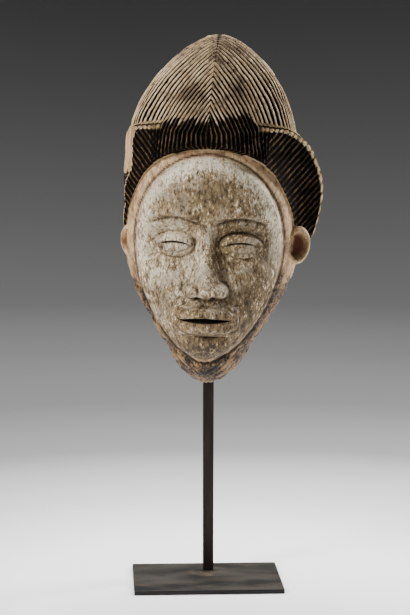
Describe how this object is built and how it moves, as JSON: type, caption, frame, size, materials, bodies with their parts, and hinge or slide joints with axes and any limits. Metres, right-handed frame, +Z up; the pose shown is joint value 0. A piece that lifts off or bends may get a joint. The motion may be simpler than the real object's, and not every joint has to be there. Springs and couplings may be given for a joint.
{
  "type": "punu mask on a stand",
  "caption": "Carved wooden face mask with whitened face, high ridged crest hair and side flaps, hollow behind, on a square steel bar and flat plate.",
  "frame": {"origin": "middle of the whole object's footprint box, on the surface that the stand's plate rests on", "axes": "+Z up, the mask looks along -Y, +X to the viewer's right, along the plate's front edge"},
  "size_m": [0.1902, 0.1646, 0.5228],
  "materials": {
    "carved_wood": "carved, whitened with kaolin on the face, worn and darkened hair",
    "bar_steel": "dark brown, satin",
    "plate_steel": "darkened steel, mottled, satin"
  },
  "bodies": {
    "root": {"mask": "carved_wood", "stand_rod": "bar_steel", "stand_base": "plate_steel"}
  },
  "joints": []
}
